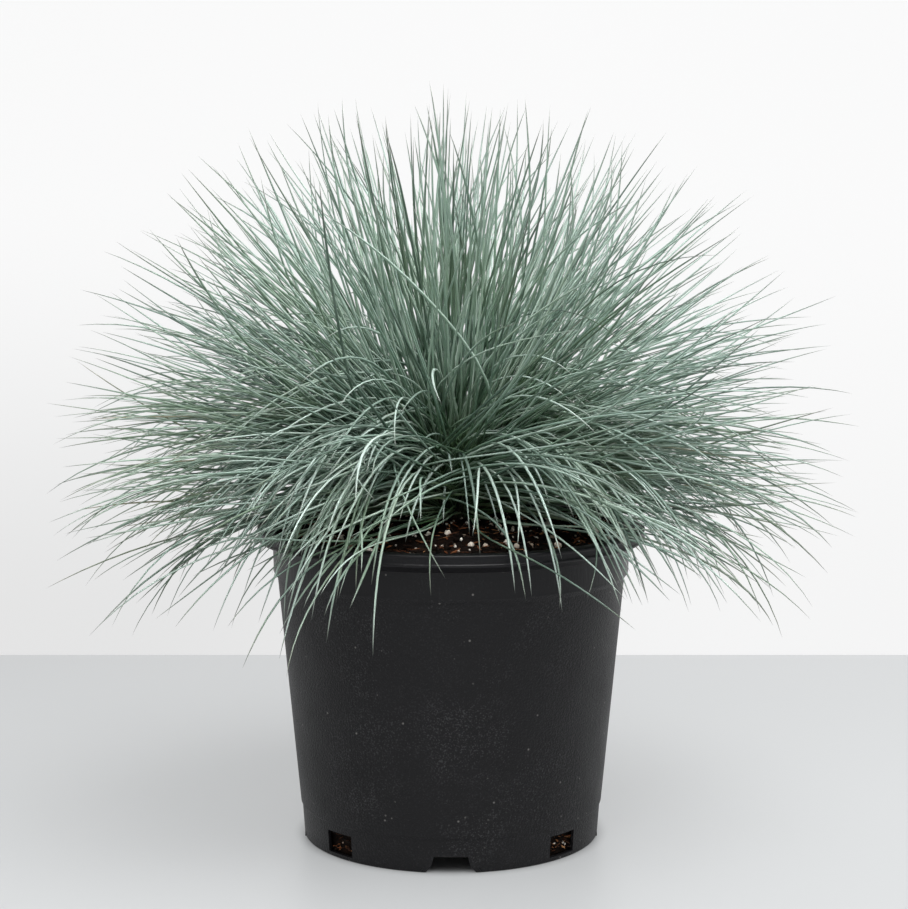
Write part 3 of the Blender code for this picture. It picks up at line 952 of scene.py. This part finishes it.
def scatter_in_windows(chance, count):
    """Points on the soil that shows in the drain windows."""
    radius = INNER_FOOT_RADIUS - SOIL_GAP - 0.8 * MM
    sideways = chance.uniform(-0.45, 0.45, count) * WINDOW_WIDTH
    angle = np.radians(np.resize(WINDOW_ANGLES, count)) + sideways / radius
    height = chance.uniform(WINDOW_BOTTOM + 1.5 * MM, WINDOW_TOP, count)
    return np.stack([-radius * np.sin(angle), radius * np.cos(angle), height], axis=-1)


def make_soil_bits(soil_material, bark, perlite):
    chance = np.random.default_rng(SEED + 2)
    edge = COLLAR_RADIUS - WALL - 2.4 * MM
    crumb_sizes = chance.uniform(0.6, 1.9, 900) * MM
    crumbs = joined_lumps(
        "peat_crumbs", scatter_on_soil(chance, 900, 8 * MM, edge, 0.0), crumb_sizes,
        chance, 1, chance.random(900), soil_material,
    )
    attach(crumbs, "root")
    grain_sizes = (0.35 + 1.55 * chance.random(PERLITE_GRAINS) ** 2.5) * MM
    grain_places = np.concatenate([
        scatter_on_soil(chance, PERLITE_GRAINS - WINDOW_GRAINS, 12 * MM, edge, 0.4 * MM),
        scatter_in_windows(chance, WINDOW_GRAINS),
    ])
    grain_sizes[-WINDOW_GRAINS:] *= 0.6
    grains = joined_lumps(
        "perlite_grains", grain_places, grain_sizes,
        chance, 2, chance.random(PERLITE_GRAINS), perlite,
    )
    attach(grains, "root")
    count = 1100 + WINDOW_FIBRES
    middles = np.concatenate([
        scatter_on_soil(chance, count - WINDOW_FIBRES, 10 * MM, edge - 2 * MM, 0.5 * MM),
        scatter_in_windows(chance, WINDOW_FIBRES),
    ])
    azimuth = chance.random(count) * FULL_TURN
    tilt = np.radians(chance.normal(88, 14, count))
    length = chance.uniform(2, 9, count) * MM
    stations = 5
    share = np.linspace(-0.5, 0.5, stations)[None, :]
    bend = np.radians(chance.normal(0, 35, count))[:, None]
    ahead = heading(tilt[:, None] + 0 * share, azimuth[:, None] + bend * share)
    steps = ahead * (length / stations)[:, None, None]
    spines = middles[:, None] + np.cumsum(steps, axis=1) - np.sum(steps, axis=1, keepdims=True) / 2
    station = np.linspace(0, 1, stations)
    widths = chance.uniform(0.15, 0.6, count)[:, None] * MM * (0.4 + 0.6 * np.sin(math.pi * (0.15 + 0.7 * station)))
    sideways = np.stack([-np.sin(azimuth), np.cos(azimuth), np.zeros(count)], axis=-1)
    fibres = joined_strands(
        "bark_fibres", spines, sideways, widths, 0.6 * widths, 4,
        chance.random(count), np.zeros(count), bark,
    )
    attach(fibres, "root")


def pot_outline():
    """Down the outside, in under the floor and up the inside, with the size of each rounding."""
    fine, soft = 0.25 * MM, 0.5 * MM
    lip_bottom = POT_HEIGHT - LIP_HEIGHT - LIP_ROUNDING
    return [
        (RIM_INNER_RADIUS, POT_HEIGHT, soft),
        (RIM_RADIUS, POT_HEIGHT, LIP_ROUNDING),
        (RIM_RADIUS, POT_HEIGHT - LIP_BEAD, fine),
        (RIM_RADIUS - LIP_HOLLOW, POT_HEIGHT - LIP_BEAD - LIP_HOLLOW, fine),
        (RIM_RADIUS - LIP_HOLLOW, lip_bottom + LIP_BEAD, fine),
        (RIM_RADIUS, lip_bottom + LIP_BEAD - LIP_HOLLOW, fine),
        (RIM_RADIUS, lip_bottom, LIP_ROUNDING / 2),
        (COLLAR_RADIUS, LIP_UNDERSIDE, fine),
        (COLLAR_RADIUS - COLLAR_TAPER, COLLAR_BOTTOM, soft),
        (BODY_TOP_RADIUS, BODY_TOP, fine),
        (FOOT_STEP_RADIUS, FOOT_STEP, fine),
        (FOOT_STEP_RADIUS - FOOT_STEP_DEPTH, FOOT_STEP - FOOT_STEP_DROP, fine),
        (FOOT_RADIUS, 0.0, FOOT_ROUNDING),
        (RECESS_RADIUS + RECESS_SLOPE, 0.0, soft),
        (RECESS_RADIUS, RECESS_HEIGHT, soft),
        (0.0, RECESS_HEIGHT, 0.0),
        (0.0, RECESS_HEIGHT + FLOOR_THICKNESS, 0.0),
        (RECESS_RADIUS + RECESS_SKIN, RECESS_HEIGHT + FLOOR_THICKNESS, soft),
        (RECESS_RADIUS + RECESS_SLOPE + RECESS_SKIN, FLOOR_THICKNESS, soft),
        (INNER_FOOT_RADIUS, FLOOR_THICKNESS, soft),
        (BODY_TOP_RADIUS - WALL, BODY_TOP, 0.0),
        (COLLAR_RADIUS - WALL, COLLAR_INNER_BOTTOM, 0.0),
        (COLLAR_RADIUS - WALL, LIP_UNDERSIDE + LIP_THICKNESS, soft),
    ]


def radial_bars(name, growth, bottom, inner, outer):
    """Four bars with the channel's cross-section, laid out from the axis like spokes."""
    half = [width + growth for width in CHANNEL_HALF_WIDTHS]
    heights = [CHANNEL_HEIGHTS[0] + growth, CHANNEL_HEIGHTS[1] + growth, bottom]
    right = list(zip(half, heights))
    outline = right + [(-width, height) for width, height in reversed(right)]
    bm = bmesh.new()
    for angle in QUARTERS:
        corners = [bm.verts.new((across, inner, height)) for across, height in outline]
        face = bm.faces.new(corners)
        extruded = bmesh.ops.extrude_face_region(bm, geom=[face])["geom"]
        far_end = [part for part in extruded if isinstance(part, bmesh.types.BMVert)]
        bmesh.ops.translate(bm, verts=far_end, vec=(0.0, outer - inner, 0.0))
        turn = Matrix.Rotation(math.radians(angle), 3, "Z")
        bmesh.ops.rotate(bm, verts=corners + far_end, cent=(0, 0, 0), matrix=turn)
    bmesh.ops.recalc_face_normals(bm, faces=bm.faces)
    return object_from_bmesh(bm, name)


def window_boxes():
    bm = bmesh.new()
    height = WINDOW_TOP - WINDOW_BOTTOM
    for angle in WINDOW_ANGLES:
        turn = Matrix.Rotation(math.radians(angle), 4, "Z")
        place = Matrix.Translation((0.0, FOOT_RADIUS, WINDOW_BOTTOM + height / 2))
        size = Matrix.Diagonal((WINDOW_WIDTH, WINDOW_DEPTH, height, 1.0))
        bmesh.ops.create_cube(bm, size=1.0, matrix=turn @ place @ size)
    return object_from_bmesh(bm, "drain_windows")


def make_pot(plastic):
    outline = pot_outline()
    bm = bmesh.new()
    corners = [bm.verts.new((radius, 0.0, height)) for radius, height, _ in outline]
    edges = [bm.edges.new(pair) for pair in zip(corners, corners[1:] + corners[:1])]
    for corner, (radius, height, rounding) in zip(list(corners), outline):
        if rounding:
            bmesh.ops.bevel(
                bm, geom=[corner], offset=rounding, offset_type="OFFSET", affect="VERTICES",
                segments=4, profile=0.5, material=-1,
            )
    axis_edges = [edge for edge in bm.edges if all(vert.co.x < 1e-6 for vert in edge.verts)]
    bmesh.ops.delete(bm, geom=axis_edges, context="EDGES_FACES")
    bmesh.ops.spin(
        bm, geom=bm.verts[:] + bm.edges[:], cent=(0, 0, 0), axis=(0, 0, 1),
        angle=FULL_TURN, steps=POT_STEPS, use_merge=True,
    )
    bmesh.ops.remove_doubles(bm, verts=bm.verts, dist=0.005 * MM)
    bmesh.ops.recalc_face_normals(bm, faces=bm.faces)
    shell = object_from_bmesh(bm, "pot_shell", plastic)
    wall_middle = FOOT_RADIUS - WALL / 2
    tools = [
        (radial_bars("tunnels", TUNNEL_WALL, TUNNEL_BOTTOM, CHANNEL_INNER_END, wall_middle), "UNION"),
        (radial_bars("channels", 0.0, CHANNEL_HEIGHTS[2], CHANNEL_INNER_END - TUNNEL_WALL,
                     1.2 * FOOT_RADIUS), "DIFFERENCE"),
        (window_boxes(), "DIFFERENCE"),
    ]
    pot = joined_or_cut(shell, tools, "moulded_pot")
    pot.data.shade_smooth()
    pot.data.set_sharp_from_angle(angle=math.radians(32))
    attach(pot, "root")
    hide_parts("nursery_pot")


def area_light(name, place, target, size, watts, colour=(1.0, 1.0, 1.0)):
    lamp = bpy.data.lights.new(name, "AREA")
    lamp.shape = "RECTANGLE"
    lamp.size, lamp.size_y = size
    lamp.energy = watts
    lamp.color = colour
    item = bpy.data.objects.new(name, lamp)
    item.location = place
    item.rotation_euler = (Vector(target) - Vector(place)).to_track_quat("-Z", "Y").to_euler()
    bpy.context.scene.collection.objects.link(item)


def stage_plane(name, corners, material):
    bm = bmesh.new()
    bm.faces.new([bm.verts.new(corner) for corner in corners])
    plane = object_from_bmesh(bm, name, material)


def make_sky():
    """Soft room light that is brighter near eye level than overhead."""
    world = bpy.data.worlds.new("studio")
    world.use_nodes = True
    tree = world.node_tree
    background = tree.nodes["Background"]
    background.inputs["Color"].default_value = (0.96, 0.98, 1.0, 1.0)
    direction = tree.nodes.new("ShaderNodeTexCoord")
    parts = tree.nodes.new("ShaderNodeSeparateXYZ")
    strength = tree.nodes.new("ShaderNodeMapRange")
    strength.inputs["From Min"].default_value = 0.10
    strength.inputs["From Max"].default_value = 0.50
    strength.inputs["To Min"].default_value = 0.66
    strength.inputs["To Max"].default_value = 0.22
    tree.links.new(direction.outputs["Generated"], parts.inputs[0])
    tree.links.new(parts.outputs["Z"], strength.inputs["Value"])
    tree.links.new(strength.outputs["Result"], background.inputs["Strength"])
    bpy.context.scene.world = world


def make_stage():
    """A pale table whose far edge stands before a white wall and a white floor lower down."""
    floor = stage_finish(
        "pale_grey_table", (0.25, 0.255, 0.258), 0.45, 1.35, 0.80, "Y", 0.38, -0.35, FOOT_RADIUS,
    )
    wall = stage_finish("white_wall", (0.20, 0.20, 0.20), 0.9, 3.88, 0.82, "Z", -0.30, 0.30)
    edge, near_end, wall_y, wide, low, tall = 0.375, -14.0, 1.9, 9.0, -0.8, 5.0
    stage_plane(
        "table",
        [(-wide, near_end, 0), (wide, near_end, 0), (wide, edge, 0), (-wide, edge, 0)],
        floor,
    )
    stage_plane(
        "wall",
        [(-wide, wall_y, low), (wide, wall_y, low), (wide, wall_y, tall), (-wide, wall_y, tall)],
        wall,
    )
    stage_plane(
        "lower_floor",
        [(-wide, -wall_y, low), (wide, -wall_y, low), (wide, wall_y, low), (-wide, wall_y, low)],
        wall,
    )

    make_sky()
    area_light("overhead_softbox", (0.28, -0.36, 1.35), (0, 0, 0.2), (0.9, 0.9), 20.5)
    area_light("front_fill", (-0.2, -1.7, 1.7), (0, 0, 0.15), (1.6, 1.2), 17.0)


def make_camera():
    lens = bpy.data.cameras.new("photo_view")
    lens.lens = 85.0
    lens.sensor_width = 36.0
    camera = bpy.data.objects.new("photo_view", lens)
    camera.location = (0.0013, -0.9346, 0.2763)
    camera.rotation_euler = (math.radians(90 - 6.5785), 0.0, 0.0)
    bpy.context.scene.collection.objects.link(camera)
    bpy.context.scene.camera = camera


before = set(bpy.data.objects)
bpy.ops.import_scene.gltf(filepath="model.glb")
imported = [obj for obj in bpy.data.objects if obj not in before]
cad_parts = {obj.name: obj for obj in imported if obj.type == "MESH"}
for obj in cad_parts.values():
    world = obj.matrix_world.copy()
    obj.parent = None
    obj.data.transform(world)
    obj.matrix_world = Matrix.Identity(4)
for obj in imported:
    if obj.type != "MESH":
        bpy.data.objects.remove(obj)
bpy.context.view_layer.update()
make_camera()
make_stage()
make_pot(plastic_finish())
soil_material = soil_finish()
make_soil(soil_material)
make_soil_bits(soil_material, bark_finish(), perlite_finish())
make_crown(sheath_finish())
make_leaves(leaf_finish())
bpy.context.scene.view_settings.view_transform = "Standard"
